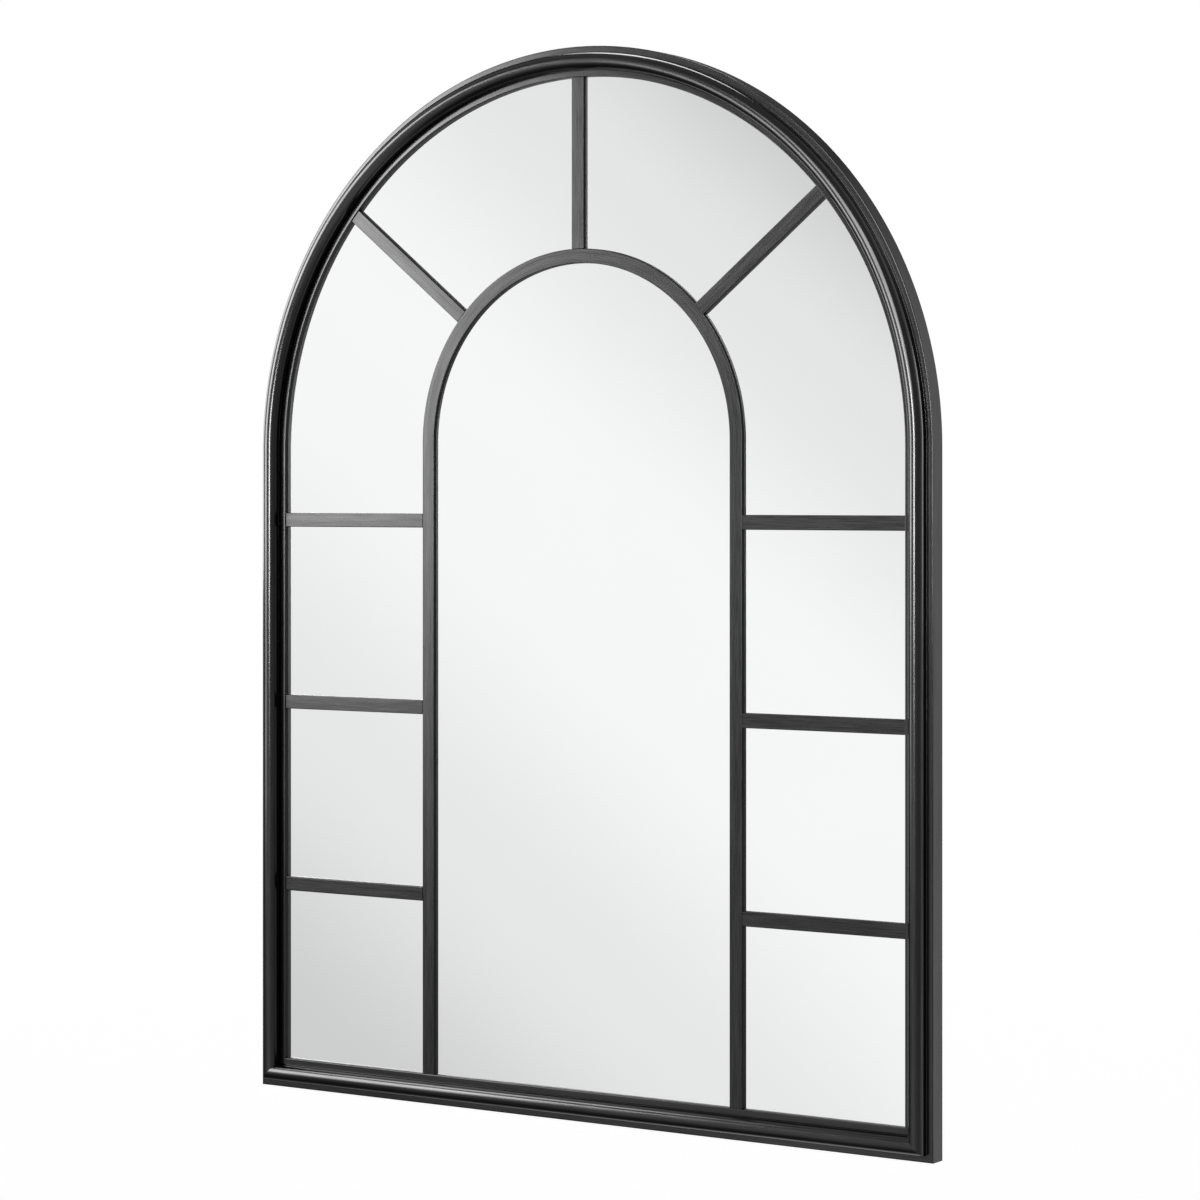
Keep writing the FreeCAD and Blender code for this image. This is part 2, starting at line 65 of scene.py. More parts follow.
scene = bpy.context.scene
PICTURE = 1200
FOCAL_PIXELS = 3539.19
HORIZON_ROW = 492.4
EYE = (1.8748, -2.7885, 0.5946)
TURN = math.radians(33.706)

lens = bpy.data.cameras.new("photo_camera")
lens.sensor_width = 36
lens.lens = FOCAL_PIXELS / PICTURE * lens.sensor_width
lens.shift_y = (HORIZON_ROW - PICTURE / 2) / PICTURE
camera = bpy.data.objects.new("photo_camera", lens)
camera.location = EYE
camera.rotation_euler = (math.radians(90), 0, TURN)
scene.collection.objects.link(camera)
scene.camera = camera
print("lens", round(lens.lens, 2), "mm, shift", round(lens.shift_y, 4))

# %% [markdown]
# ## Short calls for shader nodes
#
# A finish is a small tree of nodes. Written out in full, each node takes four or five lines, so a few
# short helpers do that: one adds a node and fills its sockets with numbers or with other nodes' outputs,
# and the others use it for arithmetic, for new materials and for mixing colours.

# %% Node helpers
def put(tree, kind, inputs=None, **options):
    """Adds a shader node, sets its options and fills its input sockets."""
    node = tree.nodes.new("ShaderNode" + kind)
    for name, value in options.items():
        setattr(node, name, value)
    for key, value in (inputs or {}).items():
        if isinstance(value, bpy.types.NodeSocket):
            tree.links.new(value, node.inputs[key])
        else:
            node.inputs[key].default_value = value
    return node


def math_of(tree, operation, *values):
    """The output of a Math node with these values."""
    return put(tree, "Math", dict(enumerate(values)), operation=operation).outputs[0]


def new_finish(name):
    """A new material, its node tree and its Principled shader."""
    material = bpy.data.materials.new(name)
    material.use_nodes = True
    tree = material.node_tree
    return material, tree, tree.nodes["Principled BSDF"]


def between(tree, value, low, high):
    """A value of 0 to 1 spread over low to high."""
    return put(tree, "MapRange", {"Value": value, "To Min": low, "To Max": high}).outputs["Result"]


def blend_of(tree, share, first, second):
    """A colour between two colours, through the colour sockets of a Mix node."""
    return put(tree, "Mix", {"Factor": share, 6: first, 7: second}, data_type="RGBA").outputs[2]


def grey(level):
    """A neutral colour."""
    return (level, level, level, 1)


print("helpers ready")

# %% [markdown]
# ## The moulding's section
#
# The frame is one moulding all round: a flat outer ledge, a half-round bead, a fine groove and a flat lip
# that drops to the glass. The construction model holds the same shape, but its mesh is cut for measuring,
# not for gloss, and a bright line along a bead shows every uneven triangle. So the visible moulding is
# swept again from its section, with evenly spaced points. The corners that show are rounded, as a drawn
# metal edge is, because only a rounded edge catches light. The points of the wall against the glass are
# marked as dull, because the brushing belt does not reach in there.

# %% Section of the moulding
import numpy as np


def rounded(corners, steps=6, hold=0.00012):
    """An outline of corners (inset, depth, radius), rounded, with close points that keep flats flat."""
    points = []
    for number, (x, y, radius) in enumerate(corners):
        here = np.array((x, y))
        if not radius:
            points.append(here)
            continue
        before = np.array(corners[number - 1][:2]) - here
        after = np.array(corners[(number + 1) % len(corners)][:2]) - here
        before /= np.linalg.norm(before)
        after /= np.linalg.norm(after)
        half = math.acos(float(np.clip(before @ after, -1, 1))) / 2
        reach = radius / math.tan(half)
        middle = here + (before + after) / np.linalg.norm(before + after) * radius / math.sin(half)
        first = here + before * reach - middle
        last = here + after * reach - middle
        points.append(here + before * (reach + hold))
        sweep = math.pi - 2 * half
        for step in range(steps + 1):
            t = step / steps
            weights = math.sin((1 - t) * sweep), math.sin(t * sweep)
            points.append(middle + (first * weights[0] + last * weights[1]) / math.sin(sweep))
        points.append(here + after * (reach + hold))
    return points


RIM = 0.0016
REAR_ROUND = 0.0003
LEDGE_WIDTH = 0.0066
LEDGE_DEPTH = 0.018
LEDGE_ROUND = 0.0008
LEDGE_FOOT_ROUND = 0.0004
BEAD_RADIUS = 0.0076
BEAD_STEPS = 36
LIP_FRONT = 0.0175
LIP_ROUND = 0.0006
GROOVE = 0.0007
GROOVE_FLOOR = LIP_FRONT - 0.0015
REBATE = 0.009
BAR_GAP = 0.00025
ON_THE_WALL = 0.00001

bead_middle = -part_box("frame_arch")[0].y - BEAD_RADIUS
bead_foot = LEDGE_WIDTH + 2 * BEAD_RADIUS
face_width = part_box("frame_arch")[1].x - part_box("cross_bar_right_upper")[1].x - BAR_GAP
glass_front = -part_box("mirror_glass")[0].y
land = -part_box("backing_board")[0].y

bead = []
for step in range(BEAD_STEPS + 1):
    turn = math.pi * (1 - step / BEAD_STEPS)
    bead.append(
        (LEDGE_WIDTH + BEAD_RADIUS * (1 + math.cos(turn)), bead_middle + BEAD_RADIUS * math.sin(turn), 0)
    )
moulding_section = rounded(
    [
        (0, 0, REAR_ROUND),
        (0, LEDGE_DEPTH, LEDGE_ROUND),
        (LEDGE_WIDTH, LEDGE_DEPTH, LEDGE_FOOT_ROUND),
        *bead,
        (bead_foot, GROOVE_FLOOR, 0),
        (bead_foot + GROOVE, GROOVE_FLOOR, 0),
        (bead_foot + GROOVE, LIP_FRONT, LIP_ROUND),
        (face_width, LIP_FRONT, LIP_ROUND),
        (face_width, glass_front, 0),
        (face_width - REBATE, glass_front, 0),
        (face_width - REBATE, land, 0),
        (RIM, land, 0),
        (RIM, 0, REAR_ROUND),
    ]
)
moulding_dull = [inset > face_width - ON_THE_WALL for inset, depth in moulding_section]
print("section points:", len(moulding_section), "face", round(1000 * face_width, 2), "mm wide")

# %% [markdown]
# ## Sweeping a section
#
# A sweep can be a curve with a bevel object, but then Blender chooses how the section twists and where
# the points fall. Placing each ring of points one by one is as short, and exact: a foot, the spring line,
# the steps round the arch, and down again. At the bottom corners the stiles and the rail meet in a mitre,
# where every point lies as far up as it lies in from the side.

# %% Sweep
ARCH_STEPS = 120
SHARP_ANGLE = math.radians(35)


def ring_mesh(name, rings, dull):
    """A closed piece through rings of points, some of them marked dull, which rides on the mirror."""
    count = len(rings[0])
    points = [point for ring in rings for point in ring]
    faces = [tuple(range(count)), tuple(range(len(points) - 1, len(points) - count - 1, -1))]
    for ring in range(len(rings) - 1):
        for point in range(count):
            after = (point + 1) % count
            low, high = ring * count, (ring + 1) * count
            faces.append((low + after, low + point, high + point, high + after))
    mesh = bpy.data.meshes.new(name)
    mesh.from_pydata(points, [], faces)
    mesh.polygons.foreach_set("use_smooth", [True] * len(faces))
    mesh.set_sharp_from_angle(angle=SHARP_ANGLE)
    marks = mesh.attributes.new("dull", "FLOAT", "POINT")
    marks.data.foreach_set("value", [float(mark) for mark in dull] * len(rings))
    piece = bpy.data.objects.new(name, mesh)
    scene.collection.objects.link(piece)
    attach(piece, "mirror")
    return piece


def arched_rings(section, radius, spring, foot):
    """Rings of a section from the left foot over the arch to the right foot."""
    rings = [[(inset - radius, -depth, foot(inset)) for inset, depth in section]]
    for step in range(ARCH_STEPS + 1):
        turn = math.pi * (1 - step / ARCH_STEPS)
        rings.append(
            [
                ((radius - inset) * math.cos(turn), -depth, spring + (radius - inset) * math.sin(turn))
                for inset, depth in section
            ]
        )
    rings.append([(radius - inset, -depth, foot(inset)) for inset, depth in section])
    return rings


half_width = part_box("frame_arch")[1].x
spring = round(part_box("frame_arch")[1].z - half_width, 3)
frame_rings = arched_rings(moulding_section, half_width, spring, lambda inset: inset)
frame_moulding = ring_mesh("frame_moulding", frame_rings, moulding_dull)
rail_rings = [
    [(side * (half_width - inset), -depth, inset) for inset, depth in moulding_section] for side in (1, -1)
]
rail_moulding = ring_mesh("rail_moulding", rail_rings, moulding_dull)
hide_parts("frame_arch")
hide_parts("bottom_rail")
print("moulding faces:", len(frame_moulding.data.polygons), "spring line at", spring, "m")

# %% [markdown]
# ## Which way the brushing runs
#
# The frame and the bars are brushed lengthways, and on the arches the brush follows the bend. The shader
# works out a run for each point: how far along the piece it lies, how far across, and how deep. On a
# straight piece that is a rotation. On an arched piece the straight legs run down from the spring line
# and the top runs round its centre.

# %% Runs along the pieces
def straight_run(tree, piece):
    """Along, across and deep for a straight piece, from the long axis of its mesh."""
    points = np.array([v.co for v in piece.data.vertices])
    axis = np.linalg.svd(points - points.mean(0), full_matrices=False)[2][0]
    turn = math.atan2(-axis[2], axis[0])
    spot = put(tree, "TexCoord").outputs["Object"]
    rotated = put(tree, "Mapping", {"Vector": spot, "Rotation": (0, turn, 0)}, vector_type="TEXTURE")
    parts = put(tree, "SeparateXYZ", {0: rotated.outputs[0]}).outputs
    return parts["X"], parts["Z"], parts["Y"]


def arched_run(tree, radius, spring):
    """Along, across and deep for a piece with two legs and a half-round top."""
    spot = put(tree, "SeparateXYZ", {0: put(tree, "TexCoord").outputs["Object"]}).outputs
    rise = math_of(tree, "SUBTRACT", spot["Z"], spring)
    above = math_of(tree, "MAXIMUM", rise, 0.0)
    below = math_of(tree, "MAXIMUM", math_of(tree, "MULTIPLY", rise, -1.0), 0.0)
    turn = math_of(tree, "ARCTAN2", spot["X"], above)
    leg = math_of(tree, "MULTIPLY", below, math_of(tree, "SIGN", spot["X"]))
    along = math_of(tree, "MULTIPLY_ADD", turn, radius, leg)
    spoke = put(tree, "CombineXYZ", {"X": spot["X"], "Z": above}).outputs[0]
    across = put(tree, "VectorMath", {0: spoke}, operation="LENGTH").outputs["Value"]
    return along, across, spot["Y"]


def streaks(tree, run, length, width, detail=3.0):
    """Noise drawn out into streaks of this length and width, in metres."""
    along, across, deep = run
    place = put(tree, "CombineXYZ", {"X": along, "Y": across, "Z": deep}).outputs[0]
    sized = put(tree, "Mapping", {"Vector": place, "Scale": (length, width, width)}, vector_type="TEXTURE")
    return put(tree, "TexNoise", {"Vector": sized.outputs[0], "Scale": 1.0, "Detail": detail}).outputs[0]


print("runs ready")

# %% [markdown]
# ## Brushed gunmetal
#
# The frame and bars are dark aluminium: brushed with a fine abrasive belt, darkened, and sealed with a
# clear satin coat. Brushing leaves streaks a millimetre wide and a few centimetres long, and the
# darkening is a little uneven over the length. One flat grey would look like plastic. Two sets of
# streaks, fine and broad, and a slow cloud change the colour, and the fine streaks also change the
# roughness and lift the surface by a hair. Walls marked as dull are rough from the die or the saw.

# %% Gunmetal
FRAME_GRAIN = 1.0
FRAME_SHADES = (0.028, 0.060)
FRAME_GLOSS = (0.15, 0.23)
FINE_STREAK = (0.030, 0.0009)
BROAD_STREAK = (0.160, 0.0045)
CLOUD_SIZE = 0.11
CLOUD_SHARE = 0.5
DULL_WALL = 0.55


def gunmetal(name, run_of, grain, shades, gloss):
    """Brushed gunmetal whose streaks follow the run of one piece."""
    material, tree, shader = new_finish(name)
    run = run_of(tree)
    fine = streaks(tree, run, *FINE_STREAK)
    broad = streaks(tree, run, *BROAD_STREAK)
    cloud = streaks(tree, run, CLOUD_SIZE, CLOUD_SIZE / 2)
    tone = math_of(tree, "MULTIPLY_ADD", math_of(tree, "SUBTRACT", fine, 0.5), grain, broad)
    slow = math_of(tree, "MULTIPLY_ADD", cloud, CLOUD_SHARE, -CLOUD_SHARE / 2)
    tone = math_of(tree, "ADD", tone, slow)
    tree.links.new(blend_of(tree, tone, grey(shades[0]), grey(shades[1])), shader.inputs["Base Color"])
    dull = put(tree, "Attribute", attribute_name="dull").outputs["Fac"]
    satin = between(tree, fine, *gloss)
    rough = put(tree, "Mix", {"Factor": dull, 2: satin, 3: DULL_WALL}, data_type="FLOAT")
    tree.links.new(rough.outputs[0], shader.inputs["Roughness"])
    bump = put(tree, "Bump", {"Height": fine, "Strength": 0.03, "Distance": 0.0001})
    tree.links.new(bump.outputs[0], shader.inputs["Normal"])
    shader.inputs["Metallic"].default_value = 1.0
    return material


def dress(name, material):
    """Gives a carried-over piece its finish."""
    nodes[name].material_slots[0].material = material


FRAME_LOOK = (FRAME_GRAIN, FRAME_SHADES, FRAME_GLOSS)
frame_metal = gunmetal("frame_gunmetal", lambda tree: arched_run(tree, half_width, spring), *FRAME_LOOK)
rail_metal = gunmetal("rail_gunmetal", lambda tree: straight_run(tree, rail_moulding), *FRAME_LOOK)
frame_moulding.data.materials.append(frame_metal)
rail_moulding.data.materials.append(rail_metal)
print("frame finished in", frame_metal.name)

# %% [markdown]
# ## The arched bar
#
# The bars are flat strip of the same metal, with the sharp edges taken off. They were brushed before they
# were cut, so the streaks run along each bar and stop at its ends. The arched bar is swept as the
# moulding was.

# %% Arched bar
BAR_GRAIN = 1.4
BAR_SHADES = (0.020, 0.045)
BAR_GLOSS = (0.22, 0.34)
BAR_LOOK = (BAR_GRAIN, BAR_SHADES, BAR_GLOSS)
BAR_ROUND = 0.0006

bar_low, bar_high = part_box("inner_arch_bar")
bar_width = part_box("cross_bar_left_upper")[1].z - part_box("cross_bar_left_upper")[0].z
bar_section = rounded(
    [
        (0, -bar_high.y, 0),
        (0, -bar_low.y, BAR_ROUND),
        (bar_width, -bar_low.y, BAR_ROUND),
        (bar_width, -bar_high.y, 0),
    ]
)
bar_dull = [depth < -bar_low.y - BAR_ROUND + ON_THE_WALL for across, depth in bar_section]
bar_spring = bar_high.z - bar_high.x
arch_bar_rings = arched_rings(bar_section, bar_high.x, bar_spring, lambda inset: bar_low.z)
arch_bar = ring_mesh("arch_bar", arch_bar_rings, bar_dull)
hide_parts("inner_arch_bar")
arch_bar.data.materials.append(
    gunmetal("arch_bar_gunmetal", lambda tree: arched_run(tree, bar_high.x, bar_spring), *BAR_LOOK)
)
print("arched bar:", round(1000 * bar_width, 1), "mm wide")

# %% [markdown]
# ## The straight bars
#
# Three spokes run from the arched bar to the frame, and their ends are cut round to fit both. So each
# point of a spoke's section has its own length: it starts where its line leaves the inner circle and
# stops at the outer one. The six level bars are cut square, and their places are read from the
# construction model.

# %% Straight bars
SPOKE_LIFT = 0.021
SPOKE_LEAN = math.radians(51.4)


def finish_bar(name, rings):
    """A straight bar through two end rings, brushed along its length."""
    bar = ring_mesh(name + "_strip", rings, bar_dull)
    bar.data.materials.append(gunmetal(name + "_gunmetal", lambda tree: straight_run(tree, bar), *BAR_LOOK))
    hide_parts(name)
    return bar


def leaves(start, along, middle, radius):
    """How far a point has to go along a direction until it leaves a circle."""
    offset = start - middle
    lead = along @ offset
    return math.sqrt(lead * lead - offset @ offset + radius * radius) - lead


inner_circle = (bar_spring, bar_high.x + BAR_GAP)
outer_circle = (spring, half_width - face_width - BAR_GAP)
straight_bars = []
for name, lean in (("spoke_left", -SPOKE_LEAN), ("spoke_top", 0.0), ("spoke_right", SPOKE_LEAN)):
    along = np.array((math.sin(lean), math.cos(lean)))
    aside = np.array((math.cos(lean), -math.sin(lean)))
    ends = []
    for height, radius in (inner_circle, outer_circle):
        ring = []
        for across, depth in bar_section:
            spot = np.array((0, spring + SPOKE_LIFT)) + aside * (bar_width / 2 - across)
            spot = spot + along * leaves(spot, along, np.array((0, height)), radius)
            ring.append((spot[0], -depth, spot[1]))
        ends.append(ring)
    straight_bars.append(finish_bar(name, ends))
for name in sorted(nodes):
    if name.startswith("cross_bar"):
        low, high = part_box(name)
        ends = [[(x, -depth, low.z + across) for across, depth in bar_section] for x in (low.x, high.x)]
        straight_bars.append(finish_bar(name, ends))
print("straight bars:", len(straight_bars))

# %% [markdown]
# ## The mirror glass
#
# A mirror is clear glass with silver behind it, sealed with paint. Real glass in front of a silver sheet
# would cost many light bounces for a picture that is the same to the eye, so the front face reflects
# directly, with a breath of haze. The edges are green as glass is seen end on, and the back has the grey
# paint that protects the silver.

# %% Silvered glass
GLASS_HAZE = (0.004, 0.012)
PAINT_ROUGHNESS = 0.35


def silvered_glass():
    """Silver on the front, green at the edges and grey paint on the back."""
    material, tree, shader = new_finish("silvered_glass")
    spot = put(tree, "TexCoord").outputs
    facing = put(tree, "SeparateXYZ", {0: spot["Normal"]}).outputs["Y"]
    front = math_of(tree, "LESS_THAN", facing, -0.5)
    back = math_of(tree, "GREATER_THAN", facing, 0.5)
    haze = put(tree, "TexNoise", {"Vector": spot["Object"], "Scale": 9.0, "Detail": 4.0}).outputs[0]
    brushed = put(tree, "TexNoise", {"Vector": spot["Object"], "Scale": 60.0, "Detail": 2.0}).outputs[0]
    paint = blend_of(tree, brushed, (0.16, 0.17, 0.17, 1), (0.22, 0.23, 0.22, 1))
    edge = blend_of(tree, back, (0.10, 0.22, 0.17, 1), paint)
    silver = blend_of(tree, haze, (0.925, 0.932, 0.932, 1), (0.945, 0.950, 0.950, 1))
    tree.links.new(blend_of(tree, front, edge, silver), shader.inputs["Base Color"])
    tree.links.new(front, shader.inputs["Metallic"])
    clear = between(tree, haze, *GLASS_HAZE)
    rough = put(tree, "Mix", {"Factor": front, 2: PAINT_ROUGHNESS, 3: clear}, data_type="FLOAT")
    tree.links.new(rough.outputs[0], shader.inputs["Roughness"])
    return material


dress("mirror_glass", silvered_glass())
low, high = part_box("mirror_glass")
print("glass:", [round(1000 * side) for side in high - low], "mm")

# %% [markdown]
# ## The backing board
#
# The back is closed with hardboard, smooth side out and painted black. Thin paint lets the fibres show as
# a fine mottle, and handling leaves it a little shinier in places.

# %% Painted hardboard
def painted_board():
    """Black paint over fibres, rubbed shinier in places."""
    material, tree, shader = new_finish("painted_hardboard")
    spot = put(tree, "TexCoord").outputs["Object"]
    fibre_noise = {"Vector": spot, "Scale": 420.0, "Detail": 5.0, "Roughness": 0.7}
    fibres = put(tree, "TexNoise", fibre_noise).outputs[0]
    rubbed = put(tree, "TexNoise", {"Vector": spot, "Scale": 7.0, "Detail": 5.0}).outputs[0]
    tone = math_of(tree, "MULTIPLY_ADD", rubbed, 0.5, math_of(tree, "MULTIPLY", fibres, 0.5))
    black, worn = grey(0.022), (0.070, 0.067, 0.064, 1)
    tree.links.new(blend_of(tree, tone, black, worn), shader.inputs["Base Color"])
    tree.links.new(between(tree, rubbed, 0.72, 0.48), shader.inputs["Roughness"])
    bump = put(tree, "Bump", {"Height": fibres, "Strength": 0.35, "Distance": 0.0002})
    tree.links.new(bump.outputs[0], shader.inputs["Normal"])
    return material


dress("backing_board", painted_board())
print("board finished")

# %% [markdown]
# ## Zinc plated steel
#
# Straps, rings and screws are steel with a bright zinc plate. The plate is not one colour: it clouds from
# cool to a faint straw, and fine specks dull it. The corner keys and their grub screws sit inside the
# moulding, where oiled steel will do.

# %% Zinc plate
def plated_steel(name, cool, warm, shine, dull):
    """Metal that clouds between two colours, with specks between two roughnesses."""
    material, tree, shader = new_finish(name)
    spot = put(tree, "TexCoord").outputs["Object"]
    cloud = put(tree, "TexNoise", {"Vector": spot, "Scale": 140.0, "Detail": 3.0}).outputs[0]
    speck = put(tree, "TexNoise", {"Vector": spot, "Scale": 1800.0, "Detail": 2.0}).outputs[0]
    tree.links.new(blend_of(tree, cloud, cool, warm), shader.inputs["Base Color"])
    tree.links.new(between(tree, speck, shine, dull), shader.inputs["Roughness"])
    bump = put(tree, "Bump", {"Height": speck, "Strength": 0.1, "Distance": 0.00005})
    tree.links.new(bump.outputs[0], shader.inputs["Normal"])
    shader.inputs["Metallic"].default_value = 1.0
    return material


zinc = plated_steel("bright_zinc", (0.58, 0.60, 0.63, 1), (0.68, 0.65, 0.59, 1), 0.20, 0.40)
bare = plated_steel("oiled_steel", (0.40, 0.41, 0.43, 1), (0.50, 0.48, 0.46, 1), 0.28, 0.50)
for name in ("strap_screws", "board_screws"):
    dress(name, zinc)
for side in ("left", "right"):
    dress("hanger_strap_" + side, zinc)
    dress("hanger_ring_" + side, zinc)
    dress("corner_key_" + side, bare)
dress("key_grub_screws", bare)
print("fittings finished")

# %% [markdown]
# ## Foam tape
#
# Between glass and board lie strips of white foam tape. Nothing of them shows until the board comes off,
# but then the cut edge shows the bubbles of the foam.

# %% Foam
def foam():
    """White foam with small bubbles."""
    material, tree, shader = new_finish("white_foam")
    spot = put(tree, "TexCoord").outputs["Object"]
    cells = put(tree, "TexVoronoi", {"Vector": spot, "Scale": 2600.0}).outputs["Distance"]
    middle, wall = (0.82, 0.82, 0.80, 1), (0.66, 0.66, 0.63, 1)
    tree.links.new(blend_of(tree, cells, middle, wall), shader.inputs["Base Color"])
    bump = put(tree, "Bump", {"Height": cells, "Strength": 0.5, "Distance": 0.0002})
    tree.links.new(bump.outputs[0], shader.inputs["Normal"])
    shader.inputs["Roughness"].default_value = 0.9
    return material


dress("mounting_tape", foam())
print("tape finished")

# %% [markdown]
# ## Floor and white surround
#
# The mirror is shown on white. The world is white to the camera and in reflections, and a quarter as
# bright as a source of light. The mirror hangs well above a pale floor, which is lifted to white for the
# camera but still takes shadow.

# %% World and floor
AMBIENT = 0.25
FLOOR_SIZE = 60
FLOOR_LEVEL = -2.15
FLOOR_LIFT = 0.75

world = bpy.data.worlds.new("white_studio")
scene.world = world
world.use_nodes = True
tree = world.node_tree
path = put(tree, "LightPath").outputs
seen = math_of(tree, "MAXIMUM", path["Is Camera Ray"], path["Is Glossy Ray"])
seen = math_of(tree, "MAXIMUM", seen, path["Is Transmission Ray"])
strength = math_of(tree, "MULTIPLY_ADD", seen, 1 - AMBIENT, AMBIENT)
background = tree.nodes["Background"]
background.inputs["Color"].default_value = grey(1)
tree.links.new(strength, background.inputs["Strength"])


def flat_sheet(name, size, height):
    """A square sheet of floor."""
    half = size / 2
    corners = [(-half, -half, height), (half, -half, height), (half, half, height), (-half, half, height)]
    mesh = bpy.data.meshes.new(name)
    mesh.from_pydata(corners, [], [(0, 1, 2, 3)])
    sheet = bpy.data.objects.new(name, mesh)
    scene.collection.objects.link(sheet)
    return sheet


floor = flat_sheet("studio_floor", FLOOR_SIZE, FLOOR_LEVEL)
pale, tree, shader = new_finish("pale_floor")
path = put(tree, "LightPath").outputs
seen = math_of(tree, "MAXIMUM", path["Is Camera Ray"], path["Is Glossy Ray"])
shader.inputs["Base Color"].default_value = grey(0.8)
shader.inputs["Roughness"].default_value = 0.9
shader.inputs["Emission Color"].default_value = grey(1)
tree.links.new(math_of(tree, "MULTIPLY", seen, FLOOR_LIFT), shader.inputs["Emission Strength"])
floor.data.materials.append(pale)
print("floor", -FLOOR_LEVEL, "m below the mirror")

# %% [markdown]
# ## The studio around it: a light tent
#
# A mirror and polished metal show nothing but their surroundings, so what stands around them is half of
# the picture. Photographers put a tent of cloth there. This one is a ball of cloth that the camera looks
# through. On the front half a bright band runs aslant and the cloth grows darker away from it: the glass
# shows the band as the soft diagonal sheen over the panes. The back half is dark above and to the left
# and white low on the right, so that the outer wall of the arch stays dark against the white and the side
# wall is light. Only reflections see the tent.

# %% Light tent
TENT_RADIUS = 2.5
TENT_MIDDLE = (0, 0, 0.5)
FRONT_LEAN = math.radians(48)
FRONT_BAND = (
    (-90, 0.08),
    (-58, 0.22),
    (-43.4, 0.65),
    (-34.2, 0.846),
    (-25, 0.98),
    (-20.4, 0.984),
    (-11.2, 0.833),
    (-4, 0.62),
    (25, 0.42),
)
BACK_LEAN = math.radians(-45)
BACK_BAND = ((-25, 0.12), (-13, 0.35), (12, 0.95), (25, 1.0))


def tent_cloth(name, way, lean, band):
    """Glowing cloth whose brightness goes by an angle that leans from the level towards the upright."""
    cloth = bpy.data.materials.new(name)
    cloth.use_nodes = True
    tree = cloth.node_tree
    tree.nodes.remove(tree.nodes["Principled BSDF"])
    spot = put(tree, "SeparateXYZ", {0: put(tree, "TexCoord").outputs["Object"]}).outputs
    side = math_of(tree, "ARCTAN2", spot["X"], math_of(tree, "MULTIPLY", spot["Y"], way))
    height = math_of(tree, "ARCSINE", math_of(tree, "DIVIDE", spot["Z"], TENT_RADIUS))
    offset = math_of(tree, "MULTIPLY", side, math.cos(lean))
    offset = math_of(tree, "MULTIPLY_ADD", height, math.sin(lean), offset)
    first, last = math.radians(band[0][0]), math.radians(band[-1][0])
    share = put(tree, "MapRange", {"Value": offset, "From Min": first, "From Max": last}).outputs["Result"]
    ramp = put(tree, "ValToRGB", {0: share})
    ramp.color_ramp.interpolation = "EASE"
    while len(ramp.color_ramp.elements) < len(band):
        ramp.color_ramp.elements.new(0.5)
    for element, (angle, level) in zip(ramp.color_ramp.elements, band):
        element.position = (math.radians(angle) - first) / (last - first)
        element.color = grey(level)
    glow = put(tree, "Emission", {"Color": ramp.outputs["Color"], "Strength": 1.0})
    tree.links.new(glow.outputs[0], tree.nodes["Material Output"].inputs["Surface"])
    return cloth


def half_tent(name, way, lean, band, rings=24, steps=48):
    """Half a ball of cloth, on the front (way -1) or the back (way 1), which only reflections see."""
    points = []
    for ring in range(rings + 1):
        height = math.pi * (ring / rings - 0.5)
        level, up = TENT_RADIUS * math.cos(height), TENT_RADIUS * math.sin(height)
        for step in range(steps + 1):
            side = math.pi * (step / steps - 0.5)
            points.append((level * math.sin(side), way * level * math.cos(side), up))
    row = steps + 1
    faces = [
        (r * row + s, r * row + s + 1, (r + 1) * row + s + 1, (r + 1) * row + s)
        for r in range(rings)
        for s in range(steps)
    ]
    mesh = bpy.data.meshes.new(name)
    mesh.from_pydata(points, [], faces)
    mesh.materials.append(tent_cloth(name + "_cloth", way, lean, band))
    tent = bpy.data.objects.new(name, mesh)
    tent.location = TENT_MIDDLE
    tent.visible_camera = False
    tent.visible_shadow = False
    tent.visible_diffuse = False
    scene.collection.objects.link(tent)
    return tent


tents = [
    half_tent("front_tent", -1, FRONT_LEAN, FRONT_BAND),
    half_tent("back_tent", 1, BACK_LEAN, BACK_BAND),
]
print("tent faces:", [len(tent.data.polygons) for tent in tents])

# %% [markdown]
# ## Lamps
#
# Soft boxes stand inside the tent. The key is at the left, from the middle of the mirror upwards, with a
# dim skirt below it: the flats of the upper left catch it and fall off into the dark downwards. A box
# that runs on behind it lights the outer flank of the bead. A box high in front and a narrow strip under
# it draw the bright line over the arch and down both stiles, and give no diffuse light. Boxes behind at
# the right and above draw the fine lines on the ledge and the rim. One at the upper left corner is for the
# bars and the rail, and one behind lights the back. The front lamps would show in the glass as white
# squares, so they leave it out, as a photographer would hide them with a polarising filter.

# %% Soft boxes
from mathutils import Vector


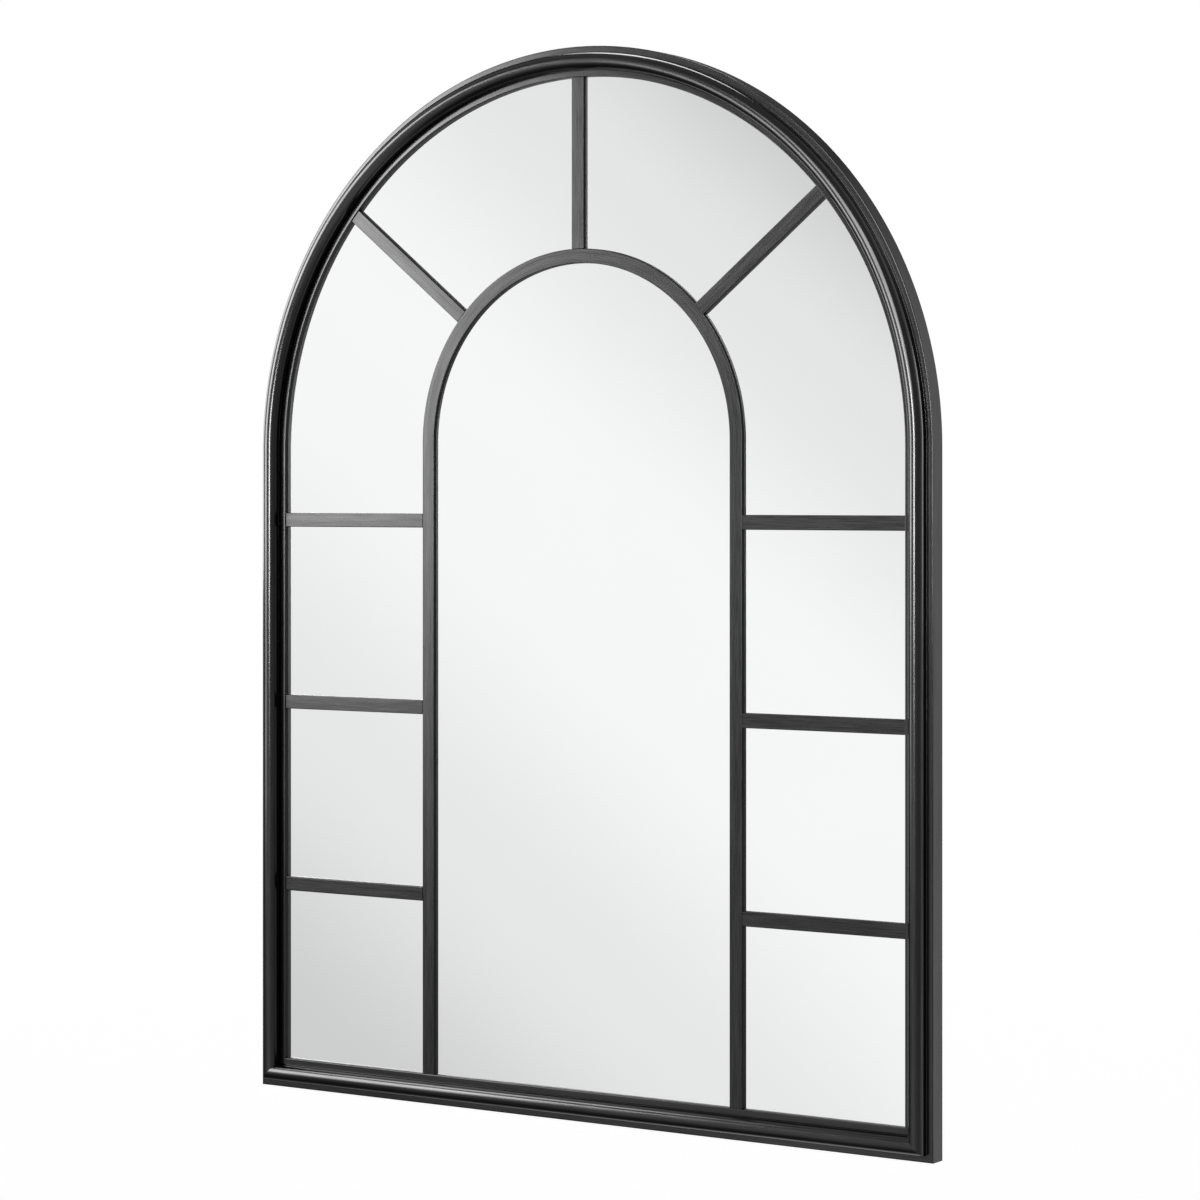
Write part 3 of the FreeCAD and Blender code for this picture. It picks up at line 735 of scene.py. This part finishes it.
def soft_box(name, place, aim, width, height, radiance, spared):
    """A rectangular lamp of a given brightness per area, which is what a reflection of it shows."""
    lamp = bpy.data.lights.new(name, "AREA")
    lamp.shape = "RECTANGLE"
    lamp.size = width
    lamp.size_y = height
    lamp.energy = radiance * math.pi * width * height
    box = bpy.data.objects.new(name, lamp)
    box.location = place
    box.rotation_euler = (Vector(aim) - Vector(place)).to_track_quat("-Z", "Y").to_euler()
    box.visible_camera = False
    scene.collection.objects.link(box)
    if spared:
        left_out = bpy.data.collections.new(name + "_left_out")
        for number, piece in enumerate(spared):
            left_out.objects.link(piece)
            left_out.collection_objects[number].light_linking.link_state = "EXCLUDE"
        box.light_linking.receiver_collection = left_out
    return box


glass = nodes["mirror_glass"]
# Each row: name, place, aim, width, height, radiance, pieces it leaves out
LAMPS = (
    ("key_box", (-1.57, -1.3, 0.97), (0, 0, 0.6), 0.9, 1.0, 12.5, [glass]),
    ("key_skirt", (-1.57, -1.3, 0.3), (0, 0, 0.5), 0.9, 0.36, 3.6, [glass]),
    ("left_box", (-2.0, 0.55, 1.05), (0, 0, 0.6), 2.1, 1.2, 2.6, [glass]),
    ("front_box", (0.2, -1.85, 1.35), (0, 0, 0.7), 1.4, 0.9, 9.0, [glass]),
    ("middle_strip", (0.21, -2.2, 0.685), (0, 0, 0.685), 0.4, 0.53, 40.0, [glass]),
    ("side_box", (1.9, 1.05, 0.9), (0.3, 0, 0.7), 0.8, 0.9, 4.0, []),
    ("top_box", (-0.45, 0.77, 2.3), (0, 0, 0.8), 0.9, 0.7, 8.0, []),
    ("corner_box", (-1.25, -0.25, 1.6), (-0.1, 0, 0), 0.8, 0.6, 8.0, [glass, frame_moulding]),
    ("rear_box", (-1.3, 2.0, 0.9), (0, 0, 0.5), 1.2, 1.2, 8.0, [frame_moulding, rail_moulding]),
)
lamps = {row[0]: soft_box(*row) for row in LAMPS}
for name in ("front_box", "middle_strip"):
    lamps[name].visible_diffuse = False
print("lamps:", len(lamps))

# %% [markdown]
# ## Picture settings
#
# The Standard view shows a colour about as it is written. The dressed mirror has to stay the size of the
# construction model.

scene.view_settings.view_transform = "Standard"
